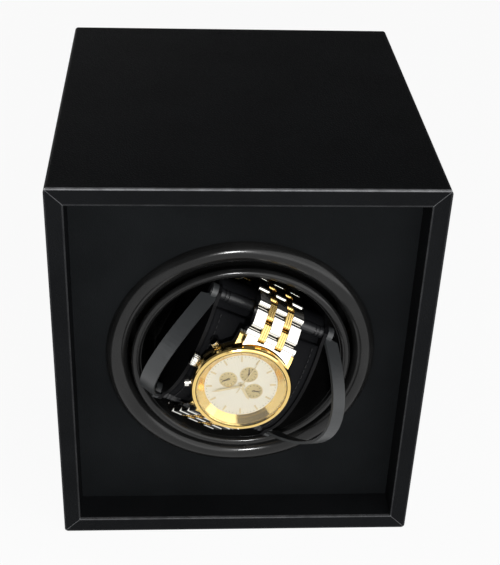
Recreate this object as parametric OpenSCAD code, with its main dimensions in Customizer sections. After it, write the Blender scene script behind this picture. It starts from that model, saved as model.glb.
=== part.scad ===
// Watch winder box: a leatherette-covered cabinet with a motor-driven drum, a removable cushion with
// two bow springs, and a chronograph strapped round the cushion as its load.
// Millimetres. +Z up, the front faces -Y. Origin: centre of the underside of the base felt.

/* [Cabinet] */
// Outer width of the cabinet
box_w = 150; // [140:1:180]
// Outer depth of the cabinet
box_d = 160; // [150:1:200]
// Overall height, base felt included
box_h = 172; // [160:1:210]
// Thickness of the fibreboard walls
board_t = 5.4; // [4.5:0.1:8]
// Thickness of the leatherette skin
skin_t = 0.8; // [0.5:0.1:1.1]
// Corner radius of the skin seen from the front
corner_r = 1.6; // [1:0.1:3]
// Depth of the front recess, edge to panel facing
recess = 14; // [8:0.5:18]
// Thickness of the front panel board
panel_t = 5; // [3.5:0.5:6]
// Thickness of the facing glued on the front panel
facing_t = 0.6; // [0.3:0.1:1]
// Thickness of the felt under the base
felt_t = 1; // [0.6:0.1:2]
// Distance from the felt edge to the cabinet side
felt_inset = 4; // [2:0.5:12]
// Thickness of the back panel
back_t = 4; // [3:0.5:6]
// Distance from the rear edge in to the back panel
back_inset = 2; // [1:0.5:4]
// Side of the square corner blocks behind the back panel
block_w = 12; // [10:0.5:16]
// Length of the corner blocks
block_l = 16; // [12:1:24]

/* [Drum and trim ring] */
// Inside radius of the drum
drum_r = 41; // [40.5:0.1:43]
// Wall thickness of the drum
drum_wall = 2; // [1.5:0.1:2.5]
// Inside depth of the drum, rim crest to floor
drum_depth = 43; // [42.5:0.1:45]
// Thickness of the drum floor
drum_floor = 2.5; // [2:0.1:4]
// Depth of the rim crest behind the cabinet front edge
rim_y = 9; // [8.5:0.1:10]
// Radius of the rolled drum rim
rim_roll = 1.9; // [1.6:0.1:2.2]
// Running gap between drum rim and trim ring
rim_gap = 1.5; // [0.8:0.1:2.5]
// Radial width of the trim ring
ring_w = 9; // [8:0.2:10]
// Height of the trim ring in front of the facing
ring_h = 4; // [3:0.1:4.4]
// Radial thickness of the collar behind the trim ring
collar_t = 2; // [1.5:0.1:3]
// Number of stiffening ribs behind the drum floor
drum_ribs = 6; // [4:1:10]

/* [Drive] */
// Gear module
gear_m = 0.6; // [0.58:0.01:0.62]
// Teeth on each wheel
wheel_teeth = 48; // [47:1:48]
// Teeth on each pinion
pinion_teeth = 12; // [12:1:13]
// Pressure angle of the teeth
pressure_angle = 25; // [24:1:26]
// Circumferential backlash per tooth
backlash = 0.09; // [0.06:0.01:0.14]
// Face width of each gear
gear_w = 3; // [2.5:0.1:3.5]
// Axial gap between neighbouring gears
gear_gap = 0.8; // [0.6:0.1:1]
// Radius of the output shaft
shaft_r = 2.5; // [2:0.1:2.8]
// Radius of the fixed gear pins
pin_r = 1; // [0.8:0.05:1.2]
// Radial running clearance of shafts and pins
run_c = 0.05; // [0.02:0.01:0.09]
// Radial clearance of parts seated in a hole
seat_c = 0.02; // [0.01:0.01:0.04]
// Wall thickness of the gearbox
gearbox_t = 2; // [1.8:0.1:3]
// Thickness of the partition board that carries the gearbox
partition_t = 6; // [4:0.5:8]
// Radius of the motor can
motor_r = 12.2; // [11:0.1:13]
// Length of the motor can
motor_l = 12.4; // [10:0.2:20]
// Radius of the motor shaft
motor_shaft_r = 1; // [0.9:0.05:1.1]

/* [Electrics] */
// Width of the circuit board
pcb_w = 60; // [52:1:70]
// Height of the circuit board
pcb_h = 36; // [34:1:44]
// Thickness of the circuit board
pcb_t = 1.6; // [1:0.2:2]
// Height of the board centre above the base
pcb_z = 42; // [40:1:60]
// Length of the spacers between board and back panel
spacer_l = 6; // [5:0.5:8]
// Bore radius of the power inlet
inlet_r = 2.85; // [2.7:0.05:3]
// Radius of the power inlet's centre pin
inlet_pin_r = 1.05; // [0.8:0.05:1.25]
// Travel of the mode switch to each side
switch_travel = 2; // [1.5:0.1:2.5]
// Diameter of the motor wires over their insulation
wire_d = 1.4; // [1:0.1:1.8]

/* [Cushion holder] */
// Turn of the holder in the drum, clockwise from the front
holder_turn = 24.5; // [0:0.5:45]
// Half width of the cushion pad
pad_half = 23; // [21:0.5:23.5]
// Thickness of the pad
pad_t = 4; // [3:0.5:5]
// Radius of the pad's front face
pad_r = 36.25; // [36:0.05:37]
// How far the pad's crest stands in front of the cabinet edge
pad_proud = 5.5; // [5:0.1:6]
// Height of the pad's edges above and below the drum axis
pad_edge = 24.2; // [22:0.1:24.3]
// Height of the ridge bars above and below the drum axis
bar_u = 27; // [26.5:0.1:27.2]
// Depth of the ridge bars behind the cabinet's front edge
bar_y = 9.5; // [9:0.1:10]
// Radius of the ridge bars
bar_r = 2.3; // [2:0.1:2.4]
// Length of a ridge bar's end past the eye of the spring
bar_end = 0.5; // [0.3:0.1:0.8]
// Thickness of the end cheeks
cheek_t = 1.4; // [1:0.1:1.6]
// Clearance between the cheeks and the drum
cheek_c = 0.25; // [0.15:0.05:0.4]
// Wall thickness of the holder shell
shell_t = 2; // [1.5:0.1:2.5]
// Thickness of a bow spring
spring_t = 1.1; // [0.8:0.1:1.2]
// Width of a bow spring
spring_w = 6.5; // [5:0.1:8]
// How far a bow spring stands off its chord
spring_bow = 27; // [18:0.5:28]
// Angle of the bow from sideways towards the front
spring_lean = 62; // [58:1:80]
// Width of the eyes that hold a bow spring
eye_w = 2.4; // [2:0.1:3]

/* [Watch] */
// Radius of the bezel
bezel_r = 19.6; // [19:0.1:20.5]
// Radius of the visible dial
dial_r = 14.4; // [13.8:0.1:14.8]
// Thickness of the case, back to bezel seat
case_h = 6.8; // [6.4:0.1:8]
// Sideways offset of the watch on the cushion
watch_a = -3.8; // [-5:0.1:5]
// Turn of the watch and its bracelet on the cushion
watch_skew = 5.5; // [-6:0.5:6]
// Tilt of the watch up round the cushion
watch_tilt = 2; // [0:0.5:5]
// How far the case's centre sits above the place where its back touches the pad
watch_up = 2.8; // [1.5:0.1:3.2]
// Height of the bracelet's ends above the case back
lug_z = 4.8; // [4.4:0.1:5]
// Width of the bracelet
band_w = 20; // [19:0.5:20.5]
// Thickness of a bracelet link
link_t = 3.2; // [2.8:0.1:3.3]
// Number of link rows, the rows under the clasp included
link_rows = 18; // [17:1:18]
// Gap between link ends
link_gap = 0.4; // [0.35:0.05:0.6]
// Radius of the bracelet pins
band_pin_r = 0.55; // [0.4:0.05:0.6]
// Radius of the crown
crown_r = 2.3; // [2.1:0.1:3]
// Number of flutes on the crown
crown_flutes = 16; // [12:1:24]
// Angle between the crown and each pusher
control_a = 30; // [28:1:34]
// Travel of the crown to its setting position
crown_travel = 0.9; // [0.6:0.1:1.2]
// Travel of the chronograph pushers
pusher_travel = 0.7; // [0.4:0.1:0.9]

/* [Hidden] */
$fn = 48;
EPS = 0.01;

// Depth behind the cabinet's front edge, as a row coordinate
function depth(d) = d - box_d / 2;
wall_t = board_t + 2 * skin_t;
inner_t = board_t + skin_t;
axis_z = box_h / 2;
body_h = box_h - felt_t;
mid_z = felt_t + body_h / 2;
panel_y = recess + facing_t;
back_y = box_d - back_inset - back_t;

// A box from its low corner to its high corner
module block(low, high) { translate(low) cube(high - low); }
// A rectangle about the origin with round corners
module round_rect(w, h, r) {
  square([w - 2 * r, h], center = true);
  square([w, h - 2 * r], center = true);
  for (x = [-1, 1], y = [-1, 1]) translate([x * (w / 2 - r), y * (h / 2 - r)]) circle(r);
}
// Stands a flat drawing up facing the front, from depth d0 back to depth d1
module upright(d0, d1) {
  translate([0, depth(d1), 0]) rotate([90, 0, 0]) linear_extrude(d1 - d0) children();
}
// Turns a profile of [radius, depth] points about the drum axis
module turned() {
  translate([0, depth(0), axis_z]) rotate([-90, 0, 0]) rotate_extrude($fn = 96) children();
}
// A rod along Y about (x, z) from depth d0 to d1
module rod(x, z, d0, d1, r) {
  translate([x, depth(d0), z]) rotate([-90, 0, 0]) cylinder(r = r, h = d1 - d0);
}
// A cross-recessed screw: head from z = 0 up, shank down
module screw(shank_r, shank_l, head_r, head_h) {
  difference() {
    union() {
      cylinder(r = head_r, h = head_h);
      translate([0, 0, -shank_l]) cylinder(r = shank_r, h = shank_l + EPS);
    }
    for (a = [0, 90]) rotate(a) translate([-head_r * 0.6, -head_r * 0.12, head_h * 0.4])
      cube([head_r * 1.2, head_r * 0.24, head_h]);
  }
}
module screw_from_back(x, z, d, shank_r, shank_l, head_r, head_h) {
  translate([x, depth(d), z]) rotate([-90, 0, 0]) screw(shank_r, shank_l, head_r, head_h);
}
module screw_from_front(x, z, d, shank_r, shank_l, head_r, head_h) {
  translate([x, depth(d), z]) rotate([90, 0, 0]) screw(shank_r, shank_l, head_r, head_h);
}

// ---- Cabinet ----
module leather_wrap() color([0.05, 0.05, 0.055]) difference() {
  translate([0, 0, mid_z]) upright(0, box_d) round_rect(box_w, body_h, corner_r);
  translate([0, 0, mid_z]) {
    upright(skin_t, box_d - skin_t) board_outline();
    upright(-EPS, recess) square([box_w - 2 * wall_t, body_h - 2 * wall_t], center = true);
    upright(recess, box_d - back_inset) inner_outline();
    upright(box_d - back_inset - EPS, box_d + EPS)
      square([box_w - 2 * wall_t, body_h - 2 * wall_t], center = true);
  }
}
module inner_outline() square([box_w - 2 * inner_t, body_h - 2 * inner_t], center = true);
// The four boards seen from the front
module board_outline() difference() {
  square([box_w - 2 * skin_t, body_h - 2 * skin_t], center = true);
  inner_outline();
}
// One board with mitred ends: it lies at distance half from the centre and is len long outside
module mitred_board(half, len) {
  translate([0, 0, mid_z]) upright(skin_t, box_d - skin_t)
    polygon([[-len / 2, half], [len / 2, half], [len / 2 - board_t, half - board_t],
      [-len / 2 + board_t, half - board_t]]);
}
module side_board(side) {
  translate([0, 0, mid_z]) upright(skin_t, box_d - skin_t)
    polygon([[side * (box_w / 2 - skin_t), body_h / 2 - skin_t],
      [side * (box_w / 2 - skin_t), -body_h / 2 + skin_t],
      [side * (box_w / 2 - inner_t), -body_h / 2 + inner_t],
      [side * (box_w / 2 - inner_t), body_h / 2 - inner_t]]);
}
module top_board() color([0.62, 0.5, 0.36]) mitred_board(body_h / 2 - skin_t, box_w - 2 * skin_t);
module bottom_board() color([0.62, 0.5, 0.36]) translate([0, 0, 2 * mid_z]) mirror([0, 0, 1])
  mitred_board(body_h / 2 - skin_t, box_w - 2 * skin_t);
module left_board() color([0.62, 0.5, 0.36]) side_board(-1);
module right_board() color([0.62, 0.5, 0.36]) side_board(1);
module base_felt() color([0.1, 0.1, 0.1])
  block([-box_w / 2 + felt_inset, depth(felt_inset), 0],
    [box_w / 2 - felt_inset, depth(box_d - felt_inset), felt_t]);

rim_r = drum_r + 0.2 + 2 * rim_roll;
collar_r = rim_r + rim_gap;
ring_r = collar_r + ring_w;
hole_r = collar_r + collar_t + 0.3;
module front_panel() color([0.5, 0.4, 0.3]) difference() {
  translate([0, 0, mid_z]) upright(panel_y, panel_y + panel_t) inner_outline();
  rod(0, axis_z, panel_y - 1, panel_y + panel_t + 1, hole_r, $fn = 96);
}
module panel_facing() color([0.09, 0.095, 0.1]) difference() {
  translate([0, 0, mid_z]) upright(recess, panel_y) inner_outline();
  rod(0, axis_z, recess - 1, panel_y + 1, hole_r, $fn = 96);
}
// The roll stands on the facing; its collar goes through the panel and a bead snaps in behind
module trim_ring() color([0.07, 0.07, 0.075]) {
  roll_w = ring_w / 2;
  roll_r = (roll_w * roll_w + ring_h * ring_h) / (2 * ring_h);
  collar_l = facing_t + panel_t;
  bead_r = 0.8;
  turned() union() {
    intersection() {
      translate([collar_r + roll_w, recess - ring_h + roll_r]) circle(roll_r, $fn = 96);
      translate([collar_r, recess - ring_h - 1]) square([ring_w, ring_h + 1]);
    }
    translate([collar_r, recess - EPS]) square([collar_t, collar_l + 2 * bead_r + EPS]);
    intersection() {
      translate([collar_r + collar_t, recess + collar_l + bead_r]) circle(bead_r);
      translate([collar_r + EPS, recess + collar_l]) square([ring_w, 2 * bead_r]);
    }
  }
}
block_x = box_w / 2 - inner_t - block_w / 2;
block_z = body_h / 2 - inner_t - block_w / 2;
back_screw_r = 1.5;
back_screw_l = 12;
module at_corners() {
  for (x = [-1, 1], z = [-1, 1]) translate([x * block_x, 0, mid_z + z * block_z]) children();
}
module corner_blocks() color([0.7, 0.58, 0.4]) at_corners() difference() {
  upright(back_y - block_l, back_y) square(block_w, center = true);
  rod(0, 0, back_y - back_screw_l, back_y + 1, back_screw_r + seat_c);
}
module back_screws() color([0.12, 0.12, 0.12]) at_corners()
  screw_from_back(0, 0, back_y + back_t, back_screw_r, back_t + back_screw_l - 1, 2.8, 1.4);
module back_panel() color([0.08, 0.08, 0.085]) difference() {
  translate([0, 0, mid_z]) upright(back_y, back_y + back_t) inner_outline();
  at_corners() rod(0, 0, back_y - 1, back_y + back_t + 1, back_screw_r + seat_c);
  at_board_corners() rod(0, 0, back_y - 1, back_y + 2.5, spacer_peg_r + seat_c);
  rod(inlet_x, pcb_z, back_y - 1, back_y + back_t + 1, inlet_face_r + 0.15);
  block([switch_x - slot_half, depth(back_y - 1), pcb_z - knob_z / 2 - 0.3],
    [switch_x + slot_half, depth(back_y + back_t + 1), pcb_z + knob_z / 2 + 0.3]);
}

// ---- Drive ----
// The gear layers run back from the gearbox front: output, second and first stage
partition_y = recess + facing_t + 50;
box_y = partition_y + partition_t;
layer_pitch = gear_w + gear_gap;
layer_y = [for (i = [0:2]) box_y + gearbox_t + 0.6 + i * layer_pitch];
cover_y = layer_y[2] + gear_w + gear_gap;
motor_y = cover_y + gearbox_t;
wheel_pr = gear_m * wheel_teeth / 2;
pinion_pr = gear_m * pinion_teeth / 2;
centre_d = wheel_pr + pinion_pr;
wheel_tip = wheel_pr + gear_m;
pin_bury = 1.4;
// Directions from each shaft to the next one down the train, counter-clockwise from the right
second_dir = 270;
first_dir = 330;
motor_dir = 90;
function shift(p, dir) = p + centre_d * [cos(dir), sin(dir)];
output_p = [0, axis_z];
second_p = shift(output_p, second_dir);
first_p = shift(second_p, first_dir);
motor_p = shift(first_p, motor_dir);

// Involute of a pressure angle, in degrees
function inv(a) = tan(a) * 180 / PI - a;
function tooth_half(r, rb, half0) = half0 + inv(pressure_angle) - (r > rb ? inv(acos(rb / r)) : 0);
function polar(r, a) = r * [cos(a), sin(a)];
function tooth(z, i) = let(
    rp = gear_m * z / 2, rb = rp * cos(pressure_angle), rf = rp - 1.25 * gear_m, ra = rp + gear_m,
    rs = max(rb, rf), half0 = 90 / z - backlash / 4 / rp * 180 / PI, steps = 4,
    radii = [for (k = [0:steps]) rs + (ra - rs) * k / steps], c = 360 * i / z,
    foot = tooth_half(rs, rb, half0))
  concat([polar(rf, c - foot)],
    [for (k = [0:steps]) polar(radii[k], c - tooth_half(radii[k], rb, half0))],
    [for (k = [steps:-1:0]) polar(radii[k], c + tooth_half(radii[k], rb, half0))],
    [polar(rf, c + foot)]);
module gear_outline(z) { polygon([for (i = [0:z - 1]) each tooth(z, i)]); }
// A gear in one layer about the shaft at p, with a tooth at angle a
module toothed(z, p, y, w, a) {
  translate([p[0], 0, p[1]]) upright(y, y + w) rotate(a) gear_outline(z);
}
phase = 180 + 180 / pinion_teeth;
module output_gear() color([0.9, 0.88, 0.8]) difference() {
  union() {
    toothed(wheel_teeth, output_p, layer_y[0], gear_w, second_dir);
    rod(output_p[0], output_p[1], layer_y[0] - 0.5, layer_y[0] + EPS, shaft_r + 1.5);
  }
  rod(output_p[0], output_p[1], layer_y[0] - 1, layer_y[0] + gear_w + 1, shaft_r + seat_c);
  for (a = [0:60:300]) rod(output_p[0] + 8.6 * cos(a), output_p[1] + 8.6 * sin(a), layer_y[0] - 1,
    layer_y[0] + gear_w + 1, 2.4);
}
// A wheel and pinion moulded in one piece, running on a fixed pin
module compound_gear(p, pinion_layer, pinion_a, wheel_a) {
  difference() {
    union() {
      toothed(pinion_teeth, p, layer_y[pinion_layer], gear_w + gear_gap + EPS, pinion_a);
      toothed(wheel_teeth, p, layer_y[pinion_layer + 1], gear_w, wheel_a);
      rod(p[0], p[1], box_y + gearbox_t + 0.1, cover_y - 0.1, pin_r + 0.9);
    }
    rod(p[0], p[1], box_y, cover_y + 1, pin_r + run_c);
  }
}
module second_gear() color([0.93, 0.92, 0.88])
  compound_gear(second_p, 0, second_dir + phase, first_dir);
module first_gear() color([0.93, 0.92, 0.88])
  compound_gear(first_p, 1, first_dir + phase, motor_dir);
module motor_pinion() color([0.85, 0.7, 0.35]) difference() {
  toothed(pinion_teeth, motor_p, layer_y[2], gear_w, motor_dir + phase);
  rod(motor_p[0], motor_p[1], layer_y[2] - 1, layer_y[2] + gear_w + 1, motor_shaft_r + seat_c);
}
module motor_shaft() color([0.8, 0.8, 0.82])
  rod(motor_p[0], motor_p[1], layer_y[2], motor_y + motor_l - 1.5, motor_shaft_r);
module gear_pins() color([0.8, 0.8, 0.82]) for (p = [second_p, first_p])
  rod(p[0], p[1], box_y + gearbox_t - pin_bury, cover_y + pin_bury, pin_r);

// Gearbox outline: a rounded rectangle with room for every wheel
gb_margin = 3.6;
gb_x0 = -wheel_tip - gb_margin;
gb_x1 = first_p[0] + wheel_tip + gb_margin;
gb_z0 = first_p[1] - wheel_tip - gb_margin;
gb_z1 = axis_z + wheel_tip + gb_margin;
gb_mid = [(gb_x0 + gb_x1) / 2, (gb_z0 + gb_z1) / 2];
gb_size = [gb_x1 - gb_x0, gb_z1 - gb_z0];
gb_corner = 4;
gb_side = 1.6;
post_r = 2.5;
post_in = gb_side + post_r - 0.2;
cover_screw_r = 0.9;
ear_hole_r = 1.6;
ear_w = 9;
ear_screw_r = 1.4;
hub_r = 7;
bush_r = 4;
hub_front = partition_y - 1.5;
motor_screw_d = 8;
motor_screw_r = 0.8;
motor_boss_r = 3;
module at_posts() {
  for (x = [gb_x0 + post_in, gb_x1 - post_in], z = [gb_z0 + post_in, gb_z1 - post_in])
    translate([x, 0, z]) children();
}
module at_ears() {
  for (side = [-1, 1], z = [gb_z0 + 14, gb_z1 - 14])
    translate([gb_mid[0] + side * (gb_size[0] / 2 + ear_w / 2 - 0.5), 0, z]) children();
}
module gearbox_housing() color([0.82, 0.82, 0.8]) difference() {
  union() {
    difference() {
      translate([gb_mid[0], 0, gb_mid[1]]) upright(box_y, cover_y)
        round_rect(gb_size[0], gb_size[1], gb_corner);
      translate([gb_mid[0], 0, gb_mid[1]]) upright(box_y + gearbox_t, cover_y + 1)
        round_rect(gb_size[0] - 2 * gb_side, gb_size[1] - 2 * gb_side, gb_corner - gb_side);
    }
    at_posts() rod(0, 0, box_y + 0.5, cover_y, post_r);
    at_ears() upright(box_y, box_y + gearbox_t) square([ear_w, ear_w], center = true);
    rod(output_p[0], output_p[1], hub_front, box_y + EPS, hub_r);
  }
  rod(output_p[0], output_p[1], hub_front - 1, box_y + gearbox_t + 1, bush_r + seat_c);
  for (p = [second_p, first_p])
    rod(p[0], p[1], box_y + gearbox_t - pin_bury, box_y + gearbox_t + 1, pin_r + seat_c);
  at_posts() rod(0, 0, cover_y - 7, cover_y + 1, cover_screw_r + seat_c);
  at_ears() rod(0, 0, box_y - 1, box_y + gearbox_t + 1, ear_hole_r);
}
module gearbox_cover() color([0.78, 0.78, 0.76]) difference() {
  union() {
    translate([gb_mid[0], 0, gb_mid[1]]) upright(cover_y, motor_y)
      round_rect(gb_size[0], gb_size[1], gb_corner);
    rod(output_p[0], output_p[1], motor_y - EPS, motor_y + 2, bush_r + 1.2);
  }
  rod(output_p[0], output_p[1], cover_y - 1, motor_y + 3, bush_r + seat_c);
  for (p = [second_p, first_p]) rod(p[0], p[1], cover_y - 1, cover_y + pin_bury, pin_r + seat_c);
  rod(motor_p[0], motor_p[1], cover_y - 1, motor_y + 1, motor_boss_r + 0.1);
  for (s = [-1, 1]) rod(motor_p[0] + s * motor_screw_d, motor_p[1], cover_y - 1, motor_y + 1,
    motor_screw_r + seat_c);
  at_posts() rod(0, 0, cover_y - 1, motor_y + 1, cover_screw_r + 0.15);
}
module gearbox_screws() color([0.75, 0.75, 0.78]) at_posts()
  screw_from_back(0, 0, motor_y, cover_screw_r, gearbox_t + 6, 1.9, 1.3);
module mounting_screws() color([0.75, 0.75, 0.78]) at_ears()
  screw_from_back(0, 0, box_y + gearbox_t, ear_screw_r, gearbox_t + partition_t - 1, 2.8, 1.8);
module motor_screws() color([0.75, 0.75, 0.78]) for (s = [-1, 1])
  screw_from_front(motor_p[0] + s * motor_screw_d, motor_p[1], cover_y, motor_screw_r,
    gearbox_t + 2.5, 1.5, 0.9);
module shaft_bushes() color([0.78, 0.6, 0.3]) {
  for (y = [[hub_front, box_y + gearbox_t], [cover_y, motor_y + 2]]) difference() {
    rod(output_p[0], output_p[1], y[0], y[1], bush_r);
    rod(output_p[0], output_p[1], y[0] - 1, y[1] + 1, shaft_r + run_c);
  }
}
module motor_can() color([0.72, 0.73, 0.75]) difference() {
  union() {
    rod(motor_p[0], motor_p[1], motor_y, motor_y + motor_l, motor_r);
    rod(motor_p[0], motor_p[1], cover_y + 0.4, motor_y + EPS, motor_boss_r);
    rod(motor_p[0], motor_p[1], motor_y + motor_l - EPS, motor_y + motor_l + 1.2, 3.2);
    for (s = [-1, 1]) translate([motor_p[0] + s * terminal_x, 0, motor_p[1]])
      upright(motor_y + motor_l - EPS, motor_y + motor_l + 3) square([0.5, 2.2], center = true);
  }
  rod(motor_p[0], motor_p[1], cover_y, motor_y + motor_l - 1.4, motor_shaft_r + run_c);
  for (s = [-1, 1]) rod(motor_p[0] + s * motor_screw_d, motor_p[1], motor_y - 1, motor_y + 3,
    motor_screw_r + seat_c);
}
module partition_board() color([0.62, 0.5, 0.36]) difference() {
  translate([0, 0, mid_z]) upright(partition_y, box_y) inner_outline();
  rod(0, axis_z, partition_y - 1, box_y + 1, hub_r + 0.3);
  at_ears() rod(0, 0, partition_y - 1, box_y + 1, ear_screw_r + seat_c);
}

// The output shaft runs from the drum's hub to behind the gearbox cover
floor_y = rim_y + drum_depth;
hub_y = floor_y + drum_floor;
hub_l = 6;
flat_cut = 0.5;
hub_screw_r = 1.25;
module output_shaft() color([0.8, 0.8, 0.82]) difference() {
  rod(0, axis_z, hub_y, motor_y + 2.5, shaft_r);
  block([-shaft_r - 1, depth(hub_y - 1), axis_z + shaft_r - flat_cut],
    [shaft_r + 1, depth(hub_y + hub_l), axis_z + shaft_r + 1]);
  rod(0, axis_z, hub_y - 1, hub_y + 7.5, hub_screw_r + seat_c);
}
module hub_screw() color([0.75, 0.75, 0.78])
  screw_from_front(0, axis_z, floor_y, hub_screw_r, drum_floor + 6, 2.7, 1.5);

// ---- Drum ----
module drum() color([0.05, 0.05, 0.055]) difference() {
  union() {
    turned() union() {
      translate([drum_r + 0.2 + rim_roll, rim_y + rim_roll]) circle(rim_roll);
      translate([drum_r, rim_y + rim_roll]) square([drum_wall, drum_depth - rim_roll + drum_floor]);
      translate([0, floor_y]) square([drum_r + EPS, drum_floor]);
      translate([0, hub_y - EPS]) square([hub_r, hub_l + EPS]);
    }
    for (i = [0:drum_ribs - 1]) translate([0, 0, axis_z]) rotate([0, 360 * i / drum_ribs, 0])
      block([hub_r - 0.5, depth(hub_y - EPS), -0.8], [drum_r, depth(hub_y + 2.5), 0.8]);
  }
  rod(0, axis_z, floor_y - 1, hub_y + 1, hub_screw_r + 0.1);
  difference() {
    rod(0, axis_z, hub_y, hub_y + hub_l + 1, shaft_r + seat_c);
    block([-shaft_r - 1, depth(hub_y - 1), axis_z + shaft_r - flat_cut + seat_c],
      [shaft_r + 1, depth(hub_y + hub_l + 2), axis_z + shaft_r + 1]);
  }
}

// ---- Electrics ----
pcb_y = back_y - spacer_l - pcb_t;
inlet_x = -15;
switch_x = 12;
inlet_face_r = 4.4;
inlet_l = 9;
knob_z = 3;
knob_x = 3.4;
slot_half = switch_travel + knob_x / 2 + 0.4;
spacer_peg_r = 1.6;
terminal_x = 5;
board_hole_r = 1.3;
module at_board_corners() {
  for (x = [-1, 1], z = [-1, 1])
    translate([x * (pcb_w / 2 - 4), 0, pcb_z + z * (pcb_h / 2 - 4)]) children();
}
module circuit_board() color([0.1, 0.35, 0.18]) difference() {
  translate([0, 0, pcb_z]) upright(pcb_y, pcb_y + pcb_t) square([pcb_w, pcb_h], center = true);
  at_board_corners() rod(0, 0, pcb_y - 1, pcb_y + pcb_t + 1, board_hole_r);
}
module board_spacers() color([0.9, 0.9, 0.88]) at_board_corners() difference() {
  union() {
    rod(0, 0, pcb_y + pcb_t, back_y, 3);
    rod(0, 0, back_y - EPS, back_y + 2.3, spacer_peg_r);
  }
  rod(0, 0, pcb_y + pcb_t - 1, pcb_y + pcb_t + 5, 1.2 + seat_c);
}
module board_screws() color([0.75, 0.75, 0.78]) at_board_corners()
  screw_from_front(0, 0, pcb_y, 1.2, pcb_t + 4.5, 2.2, 1.4);
module on_board(x, z, w, h, l) {
  translate([x, 0, pcb_z + z]) upright(pcb_y - l, pcb_y) square([w, h], center = true);
}
module board_components() color([0.13, 0.13, 0.14]) {
  on_board(0, -2, 5, 9, 1.8);
  on_board(-10, 9, 7, 3.4, 2.2);
  on_board(9, 10, 3.2, 1.6, 0.9);
  on_board(9, 5, 3.2, 1.6, 0.9);
  on_board(-8, -9, 3.2, 1.6, 0.9);
  for (x = [-17, 12]) translate([x, 0, pcb_z - 6]) upright(pcb_y - 8, pcb_y) circle(3.1);
  difference() {
    on_board(connector_x, connector_z, 8, 5, 6.5);
    for (s = [-1, 1]) translate([connector_x + s * connector_half, 0, pcb_z + connector_z])
      upright(pcb_y - 7, pcb_y - 2) circle(wire_d / 2 + 0.15);
  }
}
connector_x = 20;
connector_z = 4;
connector_half = 2;
module power_inlet() color([0.09, 0.09, 0.09]) difference() {
  union() {
    translate([inlet_x, 0, pcb_z]) upright(pcb_y + pcb_t, back_y - 0.2) square([10, 11], center = true);
    rod(inlet_x, pcb_z, back_y - 0.2 - EPS, back_y + back_t + 0.8, inlet_face_r);
  }
  difference() {
    rod(inlet_x, pcb_z, back_y + back_t + 0.8 - inlet_l, back_y + back_t + 1, inlet_r);
    rod(inlet_x, pcb_z, back_y + back_t - inlet_l - 1, back_y + back_t - 0.4, inlet_pin_r);
  }
}
module switch_body() color([0.7, 0.71, 0.73]) difference() {
  block([switch_x - 7, depth(pcb_y + pcb_t), pcb_z - 3.2],
    [switch_x + 7, depth(back_y - 0.2), pcb_z + 3.2]);
  block([switch_x - slot_half - 0.6, depth(pcb_y + pcb_t + 1.6), pcb_z - knob_z / 2 - 0.15],
    [switch_x + slot_half + 0.6, depth(back_y + 1), pcb_z + knob_z / 2 + 0.15]);
}
module switch_slider() color([0.06, 0.06, 0.06]) difference() {
  block([switch_x - knob_x / 2, depth(pcb_y + pcb_t + 1.7), pcb_z - knob_z / 2],
    [switch_x + knob_x / 2, depth(back_y + back_t + 1), pcb_z + knob_z / 2]);
  for (i = [-1:1]) translate([switch_x + i, 0, pcb_z]) upright(back_y + back_t + 0.6, back_y + back_t + 2)
    square([0.4, knob_z + 1], center = true);
}
// A tube swept along a list of points
function unit(v) = v / norm(v);
function ring_at(p, t, r, n) = let(
    s = unit(cross(t, abs(t[0]) < 0.9 ? [1, 0, 0] : [0, 0, 1])), q = cross(t, s))
  [for (i = [0:n - 1]) p + r * (cos(360 * i / n) * s + sin(360 * i / n) * q)];
module tube(path, r, n = 8) {
  last = len(path) - 1;
  rings = [for (i = [0:last])
    ring_at(path[i], unit(path[min(i + 1, last)] - path[max(i - 1, 0)]), r, n)];
  polyhedron(points = [for (k = rings) each k],
    faces = concat([[for (i = [0:n - 1]) i]], [[for (i = [n - 1:-1:0]) last * n + i]],
      [for (k = [0:last - 1], i = [0:n - 1])
        [k * n + i, (k + 1) * n + i, (k + 1) * n + (i + 1) % n, k * n + (i + 1) % n]]));
}
// Smooth run between two ends that both leave along Y, then a straight end of length l
function wire_path(a, b, l, steps = 22) = [for (i = [0:steps]) let(
    t = i / steps, e = t * t * (3 - 2 * t))
  [a[0] + (b[0] - a[0]) * e, a[1] + (b[1] - a[1]) * t, a[2] + (b[2] - a[2]) * e],
  b + [0, l / 8, 0], b + [0, l, 0]];
module motor_wires() color([0.6, 0.08, 0.08]) for (s = [-1, 1])
  tube(wire_path([motor_p[0] + s * terminal_x, depth(motor_y + motor_l + 3), motor_p[1]],
    [connector_x + s * connector_half, depth(pcb_y - 7.5), pcb_z + connector_z], 5.5), wire_d / 2);

// ---- Cushion holder ----
// The holder's frame: x across, y back from the cabinet's front edge, z up along the cushion
module in_holder() { translate([0, depth(0), axis_z]) rotate([0, holder_turn, 0]) children(); }
// Extrudes a side view of [y, z] points across the holder from x0 to x1
module across(x0, x1) { translate([x0, 0, 0]) rotate([90, 0, 90]) linear_extrude(x1 - x0) children(); }
pad_c = [pad_r - pad_proud, 0];
function pad_arc(r, z0, z1, n) = let(a0 = asin(z0 / r), a1 = asin(z1 / r))
  [for (i = [0:n]) let(a = a0 + (a1 - a0) * i / n) pad_c + r * [-cos(a), sin(a)]];
module cushion_pad() color([0.1, 0.1, 0.105]) in_holder() across(-pad_half, pad_half) intersection() {
  difference() {
    translate(pad_c) circle(pad_r, $fn = 128);
    translate(pad_c) circle(pad_r - pad_t, $fn = 128);
  }
  translate([pad_c[0] - pad_r - 1, -pad_edge]) square([pad_r + 1, 2 * pad_edge]);
}

// Centre line of the bracelet: a belt round six corners, open at the watch. [y, z] points
watch_seat = 0.3;
bend_r = 14.5;
// It begins just inside the bezel's edge
lug_reach = bezel_r - 0.6;
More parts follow.
